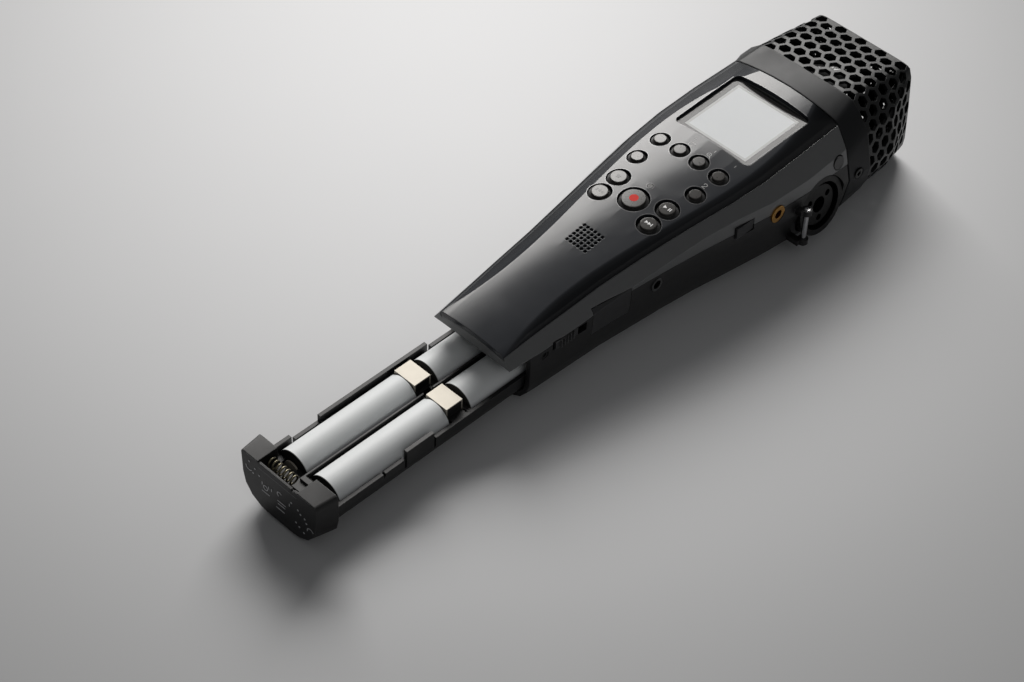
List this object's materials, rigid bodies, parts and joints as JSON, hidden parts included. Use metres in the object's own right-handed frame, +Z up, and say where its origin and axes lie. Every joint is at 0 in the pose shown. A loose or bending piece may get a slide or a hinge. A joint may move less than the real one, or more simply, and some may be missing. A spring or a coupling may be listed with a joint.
{
  "type": "handheld digital recorder",
  "caption": "Handheld digital recorder lying face up, its battery tray drawn out of the tail, with a mesh microphone head, a display window, press keys and side jacks.",
  "frame": {"origin": "bottom centre of the bounding box, on the surface that the recorder lies on", "axes": "+Y from the drawn-out battery tray to the microphone head, +X to the right-hand side as seen from above with the head up, +Z up out of the display"},
  "size_m": [0.0752, 0.2976, 0.0475],
  "materials": {
    "panel": "satin, fine grained, dark grey",
    "housing_metal": "satin metallic paint, slanted bands lighter",
    "lower_metal": "satin dark paint",
    "collar_metal": "satin dark paint",
    "grille_metal": "satin, grey edges",
    "capsule_metal": "satin",
    "black_plastic": "matt black",
    "jack_plastic": "matt black, fine texture",
    "tray_plastic": "matt black, fine texture",
    "cap_plastic": "satin dark grey",
    "door_plastic": "satin dark grey",
    "key_plastic": "semi-gloss black",
    "record_plastic": "semi-gloss black with a red dot",
    "lens": "clear window",
    "display": "pale grey display panel",
    "lamp": "clear lamp",
    "board": "green board",
    "contact_metal": "bright nickel plate",
    "gold": "polished gold plate",
    "brass": "brass",
    "jack_nickel": "dark nickel",
    "bright_steel": "bright steel",
    "black_steel": "blackened steel",
    "rubber": "black rubber",
    "cell_skin": "white satin sleeve"
  },
  "bodies": {
    "housing": {"front_panel": "panel", "upper_housing": "housing_metal", "lower_shell": "lower_metal", "head_collar": "collar_metal", "mic_cage": "grille_metal", "mic_bracket": "black_plastic", "mic_capsule_right": "capsule_metal", "mic_capsule_left": "capsule_metal", "display_lens": "lens", "display_panel": "display", "key_board": "board", "main_board": "board", "input_board": "board", "speaker": "black_plastic", "status_lamp": "lamp", "battery_bay": "black_plastic", "bay_end": "black_plastic", "wheel_post": "black_plastic", "bay_contacts": "contact_metal", "combo_jack_right": "jack_plastic", "combo_jack_left": "jack_plastic", "mic_line_jack": "gold", "timecode_jack": "jack_nickel", "phones_jack": "jack_nickel", "usb_port": "bright_steel", "card_socket": "bright_steel", "switch_base": "bright_steel", "strap_pin_right": "bright_steel", "strap_pin_left": "bright_steel", "tripod_insert": "brass", "back_screws": "black_steel", "collar_screws": "black_steel", "side_plug": "rubber"},
    "tray": {"tray_frame": "tray_plastic", "tray_cap": "cap_plastic", "cell_outer_right": "cell_skin", "cell_outer_left": "cell_skin", "cell_inner_right": "cell_skin", "cell_inner_left": "cell_skin", "cell_contacts": "contact_metal", "latch_spring": "bright_steel"},
    "latch": {"tray_latch": "black_plastic"},
    "display_key_1_body": {"display_key_1": "key_plastic"},
    "display_key_2_body": {"display_key_2": "key_plastic"},
    "display_key_3_body": {"display_key_3": "key_plastic"},
    "display_key_4_body": {"display_key_4": "key_plastic"},
    "middle_key_left_body": {"middle_key_left": "key_plastic"},
    "middle_key_right_body": {"middle_key_right": "key_plastic"},
    "transport_key_1_body": {"transport_key_1": "key_plastic"},
    "transport_key_2_body": {"transport_key_2": "key_plastic"},
    "transport_key_3_body": {"transport_key_3": "key_plastic"},
    "transport_key_4_body": {"transport_key_4": "key_plastic"},
    "record_key_body": {"record_key": "record_plastic"},
    "menu_button_body": {"menu_button": "black_plastic"},
    "power_knob_body": {"power_knob": "black_plastic"},
    "card_door_body": {"card_door": "door_plastic"},
    "jack_tab_right_body": {"jack_tab_right": "black_plastic"},
    "jack_tab_left_body": {"jack_tab_left": "black_plastic"},
    "volume_wheel_body": {"volume_wheel": "black_plastic"}
  },
  "joints": [
    {"name": "tray_slide", "type": "slide", "parent": "housing", "child": "tray", "axis": [0, 1, 0], "range_m": [-0.03, 0.0885]},
    {"name": "latch_slide", "type": "slide", "parent": "tray", "child": "latch", "axis": [1, 0, 0], "range_m": [-0.0025, 0], "stiffness_N_per_m": 300, "springref_m": 0.001, "deforming": ["latch_spring"]},
    {"name": "display_key_1_press", "type": "slide", "parent": "housing", "child": "display_key_1_body", "axis": [0, -0.0958, 0.9954], "range_m": [-0.0006, 0], "stiffness_N_per_m": 1500, "springref_m": 0.0002},
    {"name": "display_key_2_press", "type": "slide", "parent": "housing", "child": "display_key_2_body", "axis": [0, -0.0958, 0.9954], "range_m": [-0.0006, 0], "stiffness_N_per_m": 1500, "springref_m": 0.0002},
    {"name": "display_key_3_press", "type": "slide", "parent": "housing", "child": "display_key_3_body", "axis": [0, -0.0958, 0.9954], "range_m": [-0.0006, 0], "stiffness_N_per_m": 1500, "springref_m": 0.0002},
    {"name": "display_key_4_press", "type": "slide", "parent": "housing", "child": "display_key_4_body", "axis": [0, -0.0958, 0.9954], "range_m": [-0.0006, 0], "stiffness_N_per_m": 1500, "springref_m": 0.0002},
    {"name": "middle_key_left_press", "type": "slide", "parent": "housing", "child": "middle_key_left_body", "axis": [0, -0.0958, 0.9954], "range_m": [-0.0006, 0], "stiffness_N_per_m": 1500, "springref_m": 0.0002},
    {"name": "middle_key_right_press", "type": "slide", "parent": "housing", "child": "middle_key_right_body", "axis": [0, -0.0958, 0.9954], "range_m": [-0.0006, 0], "stiffness_N_per_m": 1500, "springref_m": 0.0002},
    {"name": "transport_key_1_press", "type": "slide", "parent": "housing", "child": "transport_key_1_body", "axis": [0, -0.0958, 0.9954], "range_m": [-0.0006, 0], "stiffness_N_per_m": 1500, "springref_m": 0.0002},
    {"name": "transport_key_2_press", "type": "slide", "parent": "housing", "child": "transport_key_2_body", "axis": [0, -0.0958, 0.9954], "range_m": [-0.0006, 0], "stiffness_N_per_m": 1500, "springref_m": 0.0002},
    {"name": "transport_key_3_press", "type": "slide", "parent": "housing", "child": "transport_key_3_body", "axis": [0, -0.0958, 0.9954], "range_m": [-0.0006, 0], "stiffness_N_per_m": 1500, "springref_m": 0.0002},
    {"name": "transport_key_4_press", "type": "slide", "parent": "housing", "child": "transport_key_4_body", "axis": [0, -0.0958, 0.9954], "range_m": [-0.0006, 0], "stiffness_N_per_m": 1500, "springref_m": 0.0002},
    {"name": "record_key_press", "type": "slide", "parent": "housing", "child": "record_key_body", "axis": [0, -0.0958, 0.9954], "range_m": [-0.0006, 0], "stiffness_N_per_m": 1500, "springref_m": 0.0002},
    {"name": "menu_press", "type": "slide", "parent": "housing", "child": "menu_button_body", "axis": [1, 0, 0], "range_m": [-0.0004, 0], "stiffness_N_per_m": 1500, "springref_m": 0.0002},
    {"name": "tab_press_right", "type": "slide", "parent": "housing", "child": "jack_tab_right_body", "axis": [0.9903, 0, 0.1392], "range_m": [-0.0014, 0], "stiffness_N_per_m": 800, "springref_m": 0.0003},
    {"name": "tab_press_left", "type": "slide", "parent": "housing", "child": "jack_tab_left_body", "axis": [-0.9903, 0, 0.1392], "range_m": [-0.0014, 0], "stiffness_N_per_m": 800, "springref_m": 0.0003},
    {"name": "power_slide", "type": "slide", "parent": "housing", "child": "power_knob_body", "axis": [0, 1, 0], "range_m": [-0.0007, 0.0039]},
    {"name": "card_door_hinge", "type": "hinge", "parent": "housing", "child": "card_door_body", "pos_m": [0.02215, -0.01365, 0.0174], "axis": [0, 1, 0], "range_deg": [0, 100]},
    {"name": "volume_turn", "type": "hinge", "parent": "housing", "child": "volume_wheel_body", "pos_m": [-0.01999, 0.03335, 0.0244], "axis": [0, 0, 1], "continuous": true}
  ]
}
